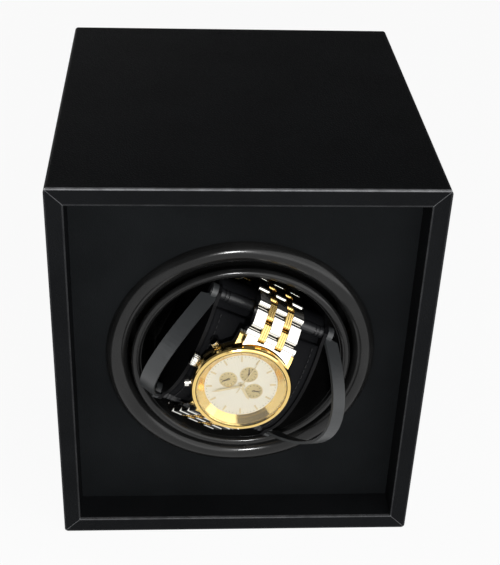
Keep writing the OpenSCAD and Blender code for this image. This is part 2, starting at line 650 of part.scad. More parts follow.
// A point of the watch's centre plane: y up the bracelet, h above the case back
function on_watch(y, h) = pad_c + (pad_r + watch_seat + h) * [-cos(watch_tilt), sin(watch_tilt)]
  + (y + watch_up) * [sin(watch_tilt), cos(watch_tilt)];
// The upper end link leans back from the case, the first row rises over the pad's edge
end_l = 5;
end_dir = 66;
rise_dir = 40;
bend_c = [[15.5, 20.5], [30.5, 11.5], [30.5, -11.5], [15.5, -20.5]];
belt_top = bend_c[0][1] + bend_r;
function heading(a) = [cos(a), sin(a)];
// Centre of a circle of radius r inside the corner at v between two headings
function inside_corner(v, a0, a1, r) =
  v - r * (outward(a0) + outward(a1)) / (1 + outward(a0) * outward(a1));
knee = on_watch(lug_reach, lug_z) + end_l * heading(end_dir);
crest = knee + (belt_top - knee[1]) / sin(rise_dir) * heading(rise_dir);
belt_c = [on_watch(lug_reach, lug_z), inside_corner(knee, end_dir, rise_dir, 3),
  inside_corner(crest, rise_dir, 0, 5), each bend_c, on_watch(-lug_reach, lug_z)];
belt_r = [0, 3, 5, bend_r, bend_r, bend_r, bend_r, 0];
function run_dir(i) = let(v = belt_c[i + 1] - belt_c[i])
  atan2(v[1], v[0]) + asin((belt_r[i + 1] - belt_r[i]) / norm(v));
function outward(a) = [-sin(a), cos(a)];
function run_start(i) = belt_c[i] + belt_r[i] * outward(run_dir(i));
function run_len(i) = norm(belt_c[i + 1] + belt_r[i + 1] * outward(run_dir(i)) - run_start(i));
function bend(i) = (run_dir(i - 1) - run_dir(i) + 720) % 360;
function bend_len(i) = belt_r[i] * bend(i) * PI / 180;
last_run = len(belt_c) - 2;
// Position and direction at distance s along the belt: [[y, z], angle]
function belt(s, i = 0) = s <= run_len(i) || i == last_run
  ? [run_start(i) + s * [cos(run_dir(i)), sin(run_dir(i))], run_dir(i)]
  : s - run_len(i) <= bend_len(i + 1)
    ? let(a = run_dir(i) - (s - run_len(i)) / belt_r[i + 1] * 180 / PI)
      [belt_c[i + 1] + belt_r[i + 1] * outward(a), a]
    : belt(s - run_len(i) - bend_len(i + 1), i + 1);
function total(i) = i > last_run ? 0 : run_len(i) + (i < last_run ? bend_len(i + 1) : 0) + total(i + 1);
belt_len = total(0);

// The shell fills the loop inside the bracelet and backs the pad
shell_r = bend_r - link_t / 2 - 3.4;
function shell_corner(i, from, to, r, n = 6) = [for (k = [0:n])
  bend_c[i] + r * outward(from + (to - from) * k / n)];
function shell_points(r, back_r, edge) = concat(pad_arc(back_r, -edge, edge, 24),
  shell_corner(0, 30, run_dir(3), r), shell_corner(1, run_dir(3), -90, r),
  shell_corner(2, -90, -180 - run_dir(3), r), shell_corner(3, -180 - run_dir(3), -210, r));
module holder_shell() color([0.11, 0.11, 0.115]) in_holder() difference() {
  across(-pad_half, pad_half) difference() {
    polygon(shell_points(shell_r, pad_r - pad_t, pad_edge));
    polygon(shell_points(shell_r - shell_t, pad_r - pad_t - shell_t, pad_edge - shell_t));
  }
  at_bars() cylinder(r = bar_r + seat_c, h = 2 * pad_half + 2, center = true);
}
module at_bars() {
  for (s = [-1, 1]) translate([0, bar_y, s * bar_u]) rotate([0, 90, 0]) children();
}
bar_half = pad_half + cheek_t + eye_w + bar_end;
module ridge_bars() color([0.13, 0.13, 0.135]) in_holder() at_bars() difference() {
  cylinder(r = bar_r, h = 2 * bar_half, center = true);
  for (x = [-1, 1], g = [2, 3.6]) translate([0, 0, x * (pad_half - g)]) rotate_extrude()
    translate([bar_r, 0]) circle(0.35, $fn = 16);
}
// Cheeks close both ends of the shell; their rear corners fit the drum and rest on its floor
cheek_y = floor_y - cheek_c;
cheek_r = drum_r - cheek_c;
cheek_u = sqrt(cheek_r * cheek_r - pow(pad_half + cheek_t, 2));
shoulder_y = 20;
function mirrored(list) = [for (k = [len(list) - 1:-1:0]) [list[k][0], -list[k][1]]];
cheek_edge = [[bar_y - 3, bar_u + bar_r - 0.4], [bar_y, bar_u + bar_r + 0.8],
  [bar_y + 3, bar_u + bar_r + 0.8], [shoulder_y, cheek_u], [cheek_y, cheek_u]];
module holder_cheeks() color([0.11, 0.11, 0.115]) in_holder() difference() {
  for (x = [-pad_half - cheek_t, pad_half]) across(x, x + cheek_t)
    polygon(concat(pad_arc(pad_r - 0.4, -pad_edge, pad_edge, 24), cheek_edge, mirrored(cheek_edge)));
  at_bars() cylinder(r = bar_r + seat_c, h = 120, center = true);
}
// A bow spring: an eye on each ridge bar and a flat strip bowed out towards the front.
// The strip is drawn in x and z, bowed towards +x, at offset off outside its inner face
function bow_point(t, off) = let(slope = -spring_bow * 2 * (1 - 2 * t) / bar_u)
  [spring_bow * 4 * t * (1 - t), bar_u * (1 - 2 * t)] + off * [1, slope * -1] / norm([1, slope]);
bow_steps = 40;
bow_outline = concat([for (i = [0:bow_steps]) bow_point(i / bow_steps, 0)],
  [for (i = [bow_steps:-1:0]) bow_point(i / bow_steps, spring_t)]);
eye_in = pad_half + cheek_t + 0.15;
module right_bow() difference() {
  union() {
    intersection() {
      translate([eye_in + eye_w / 2, bar_y, 0]) rotate([0, 0, -spring_lean])
        translate([0, spring_w / 2, 0]) rotate([90, 0, 0]) linear_extrude(spring_w) polygon(bow_outline);
      block([eye_in, -60, -60], [100, 60, 60]);
    }
    translate([eye_in + eye_w / 2, 0, 0]) at_bars()
      cylinder(r = bar_r + spring_t, h = eye_w, center = true);
  }
  at_bars() cylinder(r = bar_r + seat_c, h = 120, center = true);
}
module left_spring() color([0.22, 0.22, 0.23]) in_holder() mirror([1, 0, 0]) right_bow();
module right_spring() color([0.22, 0.22, 0.23]) in_holder() right_bow();

// ---- Watch ----
// The frame of the watch and its bracelet: the holder's, moved and turned a little
module in_band() { in_holder() translate([watch_a, 0, 0]) rotate([0, watch_skew, 0]) children(); }
// The watch's frame: origin at the centre of the case back, z out of the dial, y up the bracelet
module in_watch() {
  in_band() translate([0, pad_c[0], 0]) rotate([-watch_tilt, 0, 0])
    translate([0, -pad_r - watch_seat, watch_up]) rotate([90, 0, 0]) children();
}
bore_r = dial_r + 0.8;
dial_z = case_h - 1.2;
dial_t = 0.4;
dial_top = dial_z + dial_t;
lug_in = band_w / 2 + 0.25;
lug_w = 2;
lug_tip = lug_reach + 1.4;
module lug(side, end) {
  translate([side > 0 ? lug_in : -lug_in - lug_w, 0, 0]) rotate([90, 0, 90]) linear_extrude(lug_w)
    polygon([for (p = [[lug_tip - 10.4, case_h - 0.6], [lug_tip - 5.4, case_h - 0.9],
      [lug_tip - 2.8, case_h - 1.9], [lug_tip - 0.9, 3.6], [lug_tip, 2], [lug_tip - 0.2, 1.1],
      [lug_tip - 1, 0.8], [lug_tip - 3.9, 1.6], [lug_tip - 10.4, 1.4]]) [end * p[0], p[1]]]);
}
module watch_case() color([0.8, 0.8, 0.8]) in_watch() difference() {
  union() {
    rotate_extrude($fn = 96) polygon([[0, 0], [bezel_r - 4, 0], [bezel_r - 2.6, 0.7],
      [bezel_r - 0.7, 2.2], [bezel_r - 0.3, case_h - 1.4], [bezel_r - 0.8, case_h], [0, case_h]]);
    for (side = [-1, 1], end = [-1, 1]) lug(side, end);
    for (a = controls) rotate(a[0]) translate([-bezel_r + 1.5, 0, stem_z]) rotate([0, -90, 0])
      cylinder(r = a[1] + 0.9, h = a[2]);
  }
  translate([0, 0, dial_z]) cylinder(r = bore_r, h = case_h, $fn = 96);
  for (a = controls) rotate(a[0]) translate([-bezel_r + 4.2, 0, stem_z]) rotate([0, -90, 0])
    cylinder(r = a[1] + run_c, h = 6);
}
stem_z = 3.6;
stem_r = 0.8;
// Angle, stem radius and collar length of the crown and the two pushers
controls = [[0, stem_r, 1.4], [-control_a, stem_r, 1.4], [control_a, stem_r, 1.4]];
// The bezel: a rolled outer rim, a ledge for the crystal and a flange sloping down to the dial
crystal_t = 1;
rim_in = bezel_r - 1.9;
ledge_w = 0.6;
ledge_z = case_h + 1.6;
module bezel_profile() polygon([[dial_r, dial_top], [bore_r - 0.1, dial_top], [bore_r - 0.1, case_h],
  [bezel_r - 0.8, case_h], [bezel_r, case_h + 0.6], [bezel_r, case_h + 1.9],
  [bezel_r - 0.4, case_h + 2.6], [bezel_r - 1, case_h + 2.9], [bezel_r - 1.6, case_h + 2.8],
  [rim_in, case_h + 2.3], [rim_in, ledge_z],
  [rim_in - ledge_w, ledge_z], [dial_r, dial_top + 0.15]]);
module watch_bezel() color([0.85, 0.65, 0.3]) in_watch() rotate_extrude($fn = 96) bezel_profile();
module watch_crystal() color([0.9, 0.95, 1, 0.3]) in_watch() translate([0, 0, ledge_z])
  cylinder(r = rim_in - 0.02, h = crystal_t, $fn = 96);
subdial_d = 5.9;
subdial_r = 3.3;
post_rad = 0.35;
hand_t = 0.15;
// Places of the three small dials: left, top and right in the watch's frame
subdials = [[-subdial_d, 0], [0, subdial_d], [subdial_d, 0]];
module watch_dial() color([0.93, 0.92, 0.87]) in_watch() {
  difference() {
    translate([0, 0, dial_z]) cylinder(r = bore_r - 0.05, h = dial_t, $fn = 96);
    for (p = subdials) translate([p[0], p[1], dial_top - 0.12]) cylinder(r = subdial_r, h = 1);
  }
  translate([0, 0, dial_top - EPS]) cylinder(r = post_rad, h = 1.2, $fn = 24);
  for (p = subdials) translate([p[0], p[1], dial_top - 0.13]) cylinder(r = 0.2, h = 0.5, $fn = 16);
}
// Applied bars at the hours and a turned rim round each small dial
module dial_markers() color([0.8, 0.66, 0.35]) in_watch() {
  for (i = [0:11]) rotate(30 * i) translate([0, -dial_r + 2.6, dial_top])
    block([-0.3, -1.9, 0], [0.3, 0.4, 0.25]);
  for (p = subdials) translate([p[0], p[1], dial_top]) difference() {
    cylinder(r = subdial_r + 0.3, h = 0.12);
    translate([0, 0, -1]) cylinder(r = subdial_r, h = 3);
  }
}
// A hand of a given length at height z, pointing at angle a clockwise from the 12 side
module hand(p, z, a, length, tail, width, hub, bore) {
  translate([p[0], p[1], z]) rotate(180 - a) linear_extrude(hand_t) difference() {
    union() {
      circle(hub, $fn = 24);
      polygon([[-width / 2, -tail], [width / 2, -tail], [width / 2, length * 0.8], [0, length],
        [-width / 2, length * 0.8]]);
    }
    circle(bore, $fn = 24);
  }
}
module hour_hand() color([0.75, 0.6, 0.3]) in_watch()
  hand([0, 0], dial_top + 0.3, 304, 7.6, 1.6, 1.1, 0.9, post_rad + run_c);
module minute_hand() color([0.75, 0.6, 0.3]) in_watch()
  hand([0, 0], dial_top + 0.6, 48, 11.6, 1.6, 0.9, 0.8, post_rad + run_c);
module seconds_hand() color([0.75, 0.6, 0.3]) in_watch()
  hand([0, 0], dial_top + 0.9, 180, 12.6, 3.4, 0.3, 0.65, post_rad + run_c);
module small_hand(p, a) {
  hand(p, dial_top - 0.02, a, 2.6, 0.8, 0.35, 0.45, 0.2 + run_c);
}
module subdial_hand_left() color([0.2, 0.2, 0.2]) in_watch() small_hand(subdials[0], 40);
module subdial_hand_top() color([0.2, 0.2, 0.2]) in_watch() small_hand(subdials[1], 150);
module subdial_hand_right() color([0.2, 0.2, 0.2]) in_watch() small_hand(subdials[2], 250);
// Crown and pushers stand on the side away from the bracelet's clasp, stems in the case wall
collar_end = bezel_r - 1.5 + 1.4;
// The crown turns on its stem and is pulled out with it
crown_h = 2.6;
crown_gap = 0.15;
module in_control(i) { rotate(controls[i][0]) translate([0, 0, stem_z]) rotate([0, -90, 0]) children(); }
stem_in = bezel_r - 3.6;
module crown_stem() color([0.7, 0.7, 0.72]) in_watch() in_control(0)
  translate([0, 0, stem_in]) cylinder(r = stem_r, h = collar_end + crown_gap + crown_h - 0.8 - stem_in);
module watch_crown() color([0.85, 0.85, 0.85]) in_watch() in_control(0)
  translate([0, 0, collar_end + crown_gap]) difference() {
  union() {
    cylinder(r = crown_r, h = crown_h);
    translate([0, 0, crown_h - EPS]) cylinder(r = crown_r - 0.6, h = 0.35);
  }
  translate([0, 0, -1]) cylinder(r = stem_r + run_c, h = crown_h - 0.7 + 1);
  for (i = [0:crown_flutes - 1]) rotate(360 * i / crown_flutes) translate([crown_r + 0.12, 0, -1])
    cylinder(r = 0.3, h = 5, $fn = 16);
}
pusher_gap = pusher_travel + 0.15;
module pusher(i) {
  in_control(i) {
    translate([0, 0, bezel_r - 3]) cylinder(r = stem_r, h = collar_end - bezel_r + 3 + pusher_gap + EPS);
    translate([0, 0, collar_end + pusher_gap]) cylinder(r = 1.7, h = 1.6);
  }
}
module start_pusher() color([0.85, 0.85, 0.85]) in_watch() pusher(1);
module reset_pusher() color([0.85, 0.85, 0.85]) in_watch() pusher(2);

// ---- Bracelet ----
pitch = (belt_len - 2 * end_l) / link_rows;
clasp_first = floor(link_rows / 2) - 2;
clasp_last = clasp_first + 3;
outer_w = band_w * 0.23;
inlay_w = band_w * 0.145;
col_c = 0.1;
silver_cols = [[-band_w / 2, -band_w / 2 + outer_w], [-outer_w / 2, outer_w / 2],
  [band_w / 2 - outer_w, band_w / 2]];
inlay_mid = (outer_w / 2 + band_w / 2 - outer_w) / 2;
inlay_half = (band_w / 2 - outer_w - outer_w / 2) / 2 - col_c;
// Pin k of the chain, as a [y, z] point
function pin_at(k) = belt(end_l + (k + 0.5) * pitch / 2)[0];
module in_chain(p) { in_band() translate([0, p[0], p[1]]) children(); }
// Places a side view between pins k and k + 1, its x axis along the chain
module between_pins(k, x0, x1) {
  a = pin_at(k);
  b = pin_at(k + 1);
  in_chain((a + b) / 2) across(x0, x1) rotate(atan2(b[1] - a[1], b[0] - a[0])) children();
}
module link_side(l, t) {
  square([l - t, t], center = true);
  for (s = [-1, 1]) translate([s * (l - t) / 2, 0]) circle(t / 2, $fn = 24);
}
module pin(k, r, x) {
  in_chain(pin_at(k)) rotate([0, 90, 0]) cylinder(r = r, h = 2 * x, center = true, $fn = 16);
}
function row_shown(i) = i < clasp_first || i > clasp_last;
module bracelet_links() color([0.85, 0.85, 0.85]) {
  for (i = [0:link_rows - 1]) if (row_shown(i)) {
    for (c = silver_cols) between_pins(2 * i, c[0], c[1]) link_side(pitch - link_gap, link_t);
    for (k = [2 * i, 2 * i + 1]) pin(k, band_pin_r, band_w / 2 - 1);
  }
  for (e = [0, 1]) end_link(e);
}
// End link: a block between the lugs, cut round the case, its far edge a notched roll.
// The upper one's roll is a little wider than the links and stands past the lug tips
roll_l = 3.8;
roll_more = 1;
module end_link(e) {
  s0 = e == 0 ? 0 : belt_len;
  s1 = e == 0 ? end_l - link_gap / 2 : belt_len - end_l + link_gap / 2;
  a = belt(s0)[0];
  b = belt(s1)[0];
  dir = unit(b - a);
  turn = atan2(dir[1], dir[0]);
  roll_w = e == 0 ? band_w / 2 + roll_more : band_w / 2;
  difference() {
    union() {
      in_chain(a) across(-band_w / 2, band_w / 2) rotate(turn) translate([-3, -link_t / 2 + 0.1])
        square([3 + norm(b - a) - link_t / 2, link_t - 0.2]);
      in_chain(b - roll_l / 2 * dir) across(-roll_w, roll_w) rotate(turn) link_side(roll_l, link_t);
    }
    in_watch() translate([0, 0, -10]) cylinder(r = bezel_r + 0.25, h = 30, $fn = 96);
    for (s = [-1, 1]) end_notch(e, s);
  }
  pin(e == 0 ? -1 : 2 * link_rows, band_pin_r, band_w / 2 - 1);
}
module end_notch(e, s) {
  k = e == 0 ? -1 : 2 * link_rows - 1;
  between_pins(k, s * inlay_mid - inlay_half - col_c, s * inlay_mid + inlay_half + col_c)
    square([pitch + 2 * col_c, link_t + 4], center = true);
}
flute = 0.5;
module bracelet_inlays() color([0.85, 0.66, 0.3])
  for (i = [0:link_rows]) if (row_shown(i) && row_shown(i - 1) || i == clasp_first || i == clasp_last + 1)
    for (s = [-1, 1]) difference() {
      union() {
        between_pins(2 * i - 1, s * inlay_mid - inlay_half, s * inlay_mid + inlay_half)
          link_side(pitch - link_gap - flute, link_t - flute);
        for (j = [-1:1]) between_pins(2 * i - 1, s * inlay_mid + j * inlay_half * 0.68 - 0.28,
          s * inlay_mid + j * inlay_half * 0.68 + 0.28) link_side(pitch - link_gap, link_t);
      }
      for (k = [2 * i - 1, 2 * i]) pin(k, band_pin_r + run_c, band_w / 2 + 1);
    }
// Folding clasp: a curved cover over the rows at the back of the cushion
clasp_t = 2;
function clasp_skin(off, n = 14) = [for (k = [0:n]) let(
    q = belt(end_l + (clasp_first + (clasp_last - clasp_first) * k / n + 0.5) * pitch))
  q[0] + off * outward(q[1])];
function reversed(list) = [for (k = [len(list) - 1:-1:0]) list[k]];
module bracelet_clasp() color([0.82, 0.82, 0.82]) in_band()
  across(-band_w / 2, band_w / 2) polygon(concat(clasp_skin(-0.4), reversed(clasp_skin(clasp_t))));

leather_wrap();
top_board();
bottom_board();
left_board();
right_board();
front_panel();
panel_facing();
trim_ring();
back_panel();
corner_blocks();
back_screws();
base_felt();
partition_board();
gearbox_housing();
gearbox_cover();
gearbox_screws();
mounting_screws();
shaft_bushes();
gear_pins();
motor_can();
motor_screws();
circuit_board();
board_components();
board_spacers();
board_screws();
power_inlet();
switch_body();
switch_slider();
motor_wires();
motor_shaft();
motor_pinion();
first_gear();
second_gear();
output_gear();
output_shaft();
drum();
hub_screw();
holder_shell();
holder_cheeks();
ridge_bars();
cushion_pad();
left_spring();
right_spring();
watch_case();
watch_bezel();
watch_crystal();
watch_dial();
dial_markers();
hour_hand();
minute_hand();
seconds_hand();
subdial_hand_left();
subdial_hand_top();
subdial_hand_right();
crown_stem();
watch_crown();
start_pusher();
reset_pusher();
bracelet_links();
bracelet_inlays();
bracelet_clasp();
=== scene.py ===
import math

import bpy
from mathutils import Matrix, Vector


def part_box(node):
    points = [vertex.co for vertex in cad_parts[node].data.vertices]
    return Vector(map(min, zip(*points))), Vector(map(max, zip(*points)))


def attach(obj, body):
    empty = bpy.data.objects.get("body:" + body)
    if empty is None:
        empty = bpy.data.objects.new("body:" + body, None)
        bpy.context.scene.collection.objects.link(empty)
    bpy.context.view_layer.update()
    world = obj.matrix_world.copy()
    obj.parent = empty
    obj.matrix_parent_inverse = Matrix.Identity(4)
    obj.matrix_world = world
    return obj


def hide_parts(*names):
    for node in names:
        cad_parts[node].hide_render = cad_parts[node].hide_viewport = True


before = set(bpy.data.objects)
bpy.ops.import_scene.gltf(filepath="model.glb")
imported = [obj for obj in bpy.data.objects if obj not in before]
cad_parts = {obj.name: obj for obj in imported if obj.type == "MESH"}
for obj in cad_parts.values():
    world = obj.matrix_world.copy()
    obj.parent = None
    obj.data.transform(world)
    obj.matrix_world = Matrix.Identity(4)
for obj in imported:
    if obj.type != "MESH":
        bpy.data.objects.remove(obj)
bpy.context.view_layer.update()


# ---- Leatherette cabinet ----
# Four mitred fibreboard walls are wrapped in one sheet of black grained leatherette. The sheet is
# glued on, turned in over the front and rear edges, and cut to a mitre at each corner.

class Wire:
    """An output in a finish's node tree; arithmetic on it adds Math nodes."""

    def __init__(self, finish, socket):
        self.finish = finish
        self.socket = socket

    def math(self, operation, *others):
        return self.finish.node("ShaderNodeMath", {"operation": operation}, dict(enumerate((self, *others))))

    def __add__(self, other):
        return self.math("ADD", other)

    __radd__ = __add__

    def __mul__(self, other):
        return self.math("MULTIPLY", other)

    __rmul__ = __mul__

    def __sub__(self, other):
        return self.math("SUBTRACT", other)

    def __rsub__(self, other):
        return self.finish.node("ShaderNodeMath", {"operation": "SUBTRACT"}, {0: other, 1: self})

    def ramp(self, low, high, out_low=0.0, out_high=1.0):
        """Eases from out_low to out_high as the value goes from low to high."""
        return self.finish.node("ShaderNodeMapRange", {"interpolation_type": "SMOOTHSTEP"}, {
            "Value": self, "From Min": low, "From Max": high, "To Min": out_low, "To Max": out_high})

    def above(self, edge, soft):
        """0 below edge, 1 above it, over a band of width soft."""
        return self.ramp(edge - soft / 2, edge + soft / 2)

    def near(self, value, reach, soft):
        """1 within reach of a value, 0 away from it."""
        return 1 - (self - value).math("ABSOLUTE").above(reach, soft)


class Finish:
    """A material on one Principled BSDF; numbers and colours go straight on its sockets."""

    def __init__(self, name, **constants):
        self.material = bpy.data.materials.new(name)
        self.material.use_nodes = True
        self.tree = self.material.node_tree
        self.shader = self.tree.nodes["Principled BSDF"]
        for key, value in constants.items():
            self.put(key.replace("_", " "), value)

    def feed(self, socket, value):
        """Links a wire to a socket, or sets a number, a vector or a colour on it."""
        if isinstance(value, Wire):
            self.tree.links.new(value.socket, socket)
        else:
            socket.default_value = (*value, 1.0) if socket.type == "RGBA" else value

    def put(self, name, value):
        """Feeds one of the shader's own sockets."""
        self.feed(self.shader.inputs[name], value)

    def node(self, kind, settings=None, sockets=None, out=0):
        """Adds a node of a type, makes its settings, feeds its sockets and gives one output."""
        made = self.tree.nodes.new(kind)
        for key, value in (settings or {}).items():
            setattr(made, key, value)
        for key, value in (sockets or {}).items():
            self.feed(made.inputs[key], value)
        return Wire(self, made.outputs[out])

    def place(self):
        """The point in the row frame, in metres."""
        return self.node("ShaderNodeTexCoord", out="Object")

    def along(self, direction, origin=(0, 0, 0)):
        """How far the point lies along a direction from an origin."""
        offset = self.node("ShaderNodeVectorMath", {"operation": "SUBTRACT"}, {
            0: self.place(), 1: tuple(origin)})
        return self.node("ShaderNodeVectorMath", {"operation": "DOT_PRODUCT"}, {
            0: offset, 1: tuple(direction)}, "Value")

    def noise(self, size, detail=2.0, rough=0.5, stretch=None):
        """Noise with features of a size in metres, 0 to 1."""
        at = self.place()
        if stretch:
            at = self.node("ShaderNodeVectorMath", {"operation": "MULTIPLY"}, {0: at, 1: stretch})
        return self.node("ShaderNodeTexNoise", {}, {
            "Vector": at, "Scale": 1 / size, "Detail": detail, "Roughness": rough})

    def cells(self, size):
        """Distance from the borders of random cells of a size in metres."""
        return self.node("ShaderNodeTexVoronoi", {"feature": "DISTANCE_TO_EDGE"}, {
            "Vector": self.place(), "Scale": 1 / size})

    def blend(self, mask, first, second):
        """Colour first where mask is 0, second where it is 1."""
        return self.node("ShaderNodeMix", {"data_type": "RGBA"}, {0: mask, 6: first, 7: second}, 2)

    def relief(self, height, depth, strength=1.0):
        """Bumps the surface by height (0 to 1) times depth in metres."""
        self.put("Normal", self.node("ShaderNodeBump", {}, {
            "Strength": strength, "Distance": depth, "Height": height}))


def dress(finish, *nodes):
    """Gives CAD nodes a finish."""
    for name in nodes:
        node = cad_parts[name]
        node.data.materials.clear()
        node.data.materials.append(finish.material)


def soften(name, width, segments=2, angle=30):
    """Rounds the sharp edges of a CAD node for the render."""
    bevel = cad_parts[name].modifiers.new("soft_edges", "BEVEL")
    bevel.width = width
    bevel.segments = segments
    bevel.limit_method = "ANGLE"
    bevel.angle_limit = math.radians(angle)
    bevel.harden_normals = True


wrap_low, wrap_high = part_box("leather_wrap")
BOX_W = wrap_high.x - wrap_low.x
BOX_D = wrap_high.y - wrap_low.y
BOX_H = wrap_high.z
FELT_T = wrap_low.z
WALL_T = 0.007
EDGE_LINE_WIDTH = 0.0006
EDGE_LINE_FADE = 0.0004
MITRE_LINE = 0.0002
FRONT_BAND = 0.001
LIP_END = 0.0005


def leatherette(name, colour, grain, rough):
    """Pebbled vinyl: cells with soft valleys, broken up by a finer noise.

    Its colour and roughness stay on it as skin and rough, for worn edges and painted highlight to be laid
    over them.
    """
    vinyl = Finish(name, IOR=1.1)
    pebbles = vinyl.cells(grain).ramp(0.0, 0.35)
    fine = vinyl.noise(grain / 3, 3)
    vinyl.skin = vinyl.blend(vinyl.noise(0.03, 2).ramp(0.3, 0.7), colour, tuple(c * 1.3 for c in colour))
    vinyl.put("Base Color", vinyl.skin)
    vinyl.rough = (1 - pebbles) * 0.1 + rough
    vinyl.put("Roughness", vinyl.rough)
    vinyl.relief(pebbles * 0.7 + fine * 0.3, 0.0001, 0.6)
    return vinyl


wrap_skin = leatherette("wrap_leatherette", (0.0054, 0.0058, 0.0064), 0.0011, 0.55)
from_side = BOX_W / 2 - wrap_skin.along((1, 0, 0)).math("ABSOLUTE")
height = wrap_skin.along((0, 0, 1))
from_top = BOX_H - height
from_end = from_top.math("MINIMUM", height - FELT_T)
from_edge = from_side.math("MINIMUM", from_end)
at_front = 1 - wrap_skin.along((0, 1, 0)).above(-BOX_D / 2 + FRONT_BAND, EDGE_LINE_WIDTH)
top_edge = 1 - from_top.above(EDGE_LINE_WIDTH, EDGE_LINE_FADE)
on_lip = height.near(FELT_T + WALL_T, EDGE_LINE_WIDTH, EDGE_LINE_FADE)
bottom_lip = on_lip * from_side.above(WALL_T - LIP_END, EDGE_LINE_FADE)
outer_edges = 1 - from_edge.above(EDGE_LINE_WIDTH, EDGE_LINE_FADE)
inner_edges = from_edge.near(WALL_T, EDGE_LINE_WIDTH, EDGE_LINE_FADE)
mitre = (from_side - from_end).near(0, MITRE_LINE, MITRE_LINE) * (1 - from_edge.above(WALL_T, EDGE_LINE_FADE))
# Painted highlight, partly real rubbing: a lighter colour along the top front edge and the bottom inner lip,
# where the lamp glints on the bevel, fainter worn lines along the other front edges, and a faint line at
# each mitre.
edge_highlight_and_rubbing = top_edge
for line, share in ((bottom_lip, 0.4), (outer_edges, 0.1), (inner_edges, 0.1), (mitre, 0.4)):
    edge_highlight_and_rubbing = edge_highlight_and_rubbing.math("MAXIMUM", line * share)
painted_highlight_and_worn_edges = edge_highlight_and_rubbing * at_front * wrap_skin.noise(0.006, 3, 0.6).ramp(0.3, 0.65, 0.6, 1.0)
# The painted highlight and worn lines go on as a lighter colour, with a glossy coat over them.
wrap_skin.put("Base Color", wrap_skin.blend(painted_highlight_and_worn_edges, wrap_skin.skin, (0.19, 0.192, 0.2)))
wrap_skin.put("Roughness", wrap_skin.rough - painted_highlight_and_worn_edges * 0.2)
wrap_skin.put("Coat Weight", painted_highlight_and_worn_edges)
wrap_skin.put("Coat Roughness", 0.25)
dress(wrap_skin, "leather_wrap")
soften("leather_wrap", 0.0007, 3)


# ---- Front panel facing ----
# The set-back board behind the frame carries a flat facing of matte black vinyl.
# It is glued on and cut out round the drum.

facing_skin = leatherette("facing_vinyl", (0.0058, 0.0065, 0.0071), 0.0006, 0.62)
dress(facing_skin, "panel_facing")


# ---- Inner boards ----
# Walls, panel, partition and corner blocks are cut from fibreboard and left bare. Round the drum they
# are black, a painted shade for the dark gap by the ring. Only the black rear panel shows, held by four
# screws.

AXIS_Z = BOX_H / 2
DRUM_SHADE_R = 0.058
PALE_FIBRE = (0.46, 0.33, 0.2)
DARK_FIBRE = (0.36, 0.25, 0.14)


def board_finish(name, painted=0.0):
    """Bare board, with black painted shade round the drum out to a radius."""
    board = Finish(name, Specular_IOR_Level=0.2, Roughness=0.85)
    fibres = board.noise(0.002, 4, 0.7, (1, 0.25, 1))
    surface = board.blend(fibres.ramp(0.3, 0.7), PALE_FIBRE, DARK_FIBRE)
    if painted:
        across = board.along((1, 0, 0))
        rise = board.along((0, 0, 1), (0, 0, AXIS_Z))
        reach = (across * across + rise * rise).math("SQRT")
        # Painted shade: black near the drum's axis, where the gap between drum and ring lies in shade.
        surface = board.blend(reach.above(painted, 0.001), (0.004, 0.004, 0.004), surface)
    board.put("Base Color", surface)
    board.relief(fibres, 0.0002, 0.5)
    return board


fibreboard = board_finish("fibreboard")
drum_shade_board = board_finish("fibreboard_with_drum_shade", DRUM_SHADE_R)
dress(fibreboard, "top_board", "bottom_board", "left_board", "right_board", "corner_blocks")
dress(drum_shade_board, "front_panel", "partition_board")

rear_paint = Finish("rear_paint", Specular_IOR_Level=0.3)
speckle = rear_paint.noise(0.0008, 3)
rear_paint.put("Base Color", rear_paint.blend(speckle, (0.008, 0.008, 0.009), (0.014, 0.014, 0.015)))
rear_paint.put("Roughness", speckle * 0.2 + 0.5)
rear_paint.relief(speckle, 0.00008, 0.5)
dress(rear_paint, "back_panel")

felt = Finish("base_felt_wool", Roughness=0.95, Specular_IOR_Level=0.1)
fuzz = felt.noise(0.0005, 4, 0.8)
felt.put("Base Color", felt.blend(fuzz, (0.006, 0.006, 0.006), (0.02, 0.02, 0.02)))
felt.relief(fuzz, 0.0003, 0.8)
dress(felt, "base_felt")


# ---- Trim ring and drum ----
# Both are injection moulded in gloss black plastic, with faint smears and scuffs from handling.
# The ring snaps through the front board, and the drum turns behind it.

gloss = Finish("gloss_black_plastic", Specular_IOR_Level=0.32)
swirl = gloss.noise(0.004, 3, 0.6)
smear = gloss.noise(0.018, 2, 0.5)
gloss.put("Base Color", gloss.blend(
    smear.ramp(0.35, 0.65), (0.0075, 0.0075, 0.0075), (0.0105, 0.0105, 0.0105)))
gloss.put("Roughness", smear * 0.1 + 0.14)
gloss.relief(swirl, 0.00004, 0.25)
dress(gloss, "trim_ring", "drum")


# ---- Drive and electrics ----
# A small brushed motor and a moulded gearbox sit behind the partition, with the circuit board,
# inlet and mode switch on the rear panel. They are bought-in parts, screwed in place.

def metal(name, colour, rough, grain=0.0006, stretch=None):
    """Plain metal with a fine drawn or ground grain."""
    spread = 0.12
    alloy = Finish(name, Metallic=1.0)
    lines = alloy.noise(grain, 3, 0.6, stretch)
    alloy.put("Base Color", alloy.blend(lines, tuple(c * 0.92 for c in colour), colour))
    alloy.put("Roughness", lines * spread + (rough - spread / 2))
    alloy.relief(lines, 0.00001, 0.3)
    return alloy


def moulded(name, colour, rough, shine=0.4):
    """Moulded plastic with a fine eroded skin."""
    plastic = Finish(name, Specular_IOR_Level=shine)
    skin = plastic.noise(0.0007, 3, 0.6)
    plastic.put("Base Color", plastic.blend(skin, tuple(c * 0.9 for c in colour), colour))
    plastic.put("Roughness", skin * 0.12 + (rough - 0.06))
    plastic.relief(skin, 0.00003, 0.4)
    return plastic


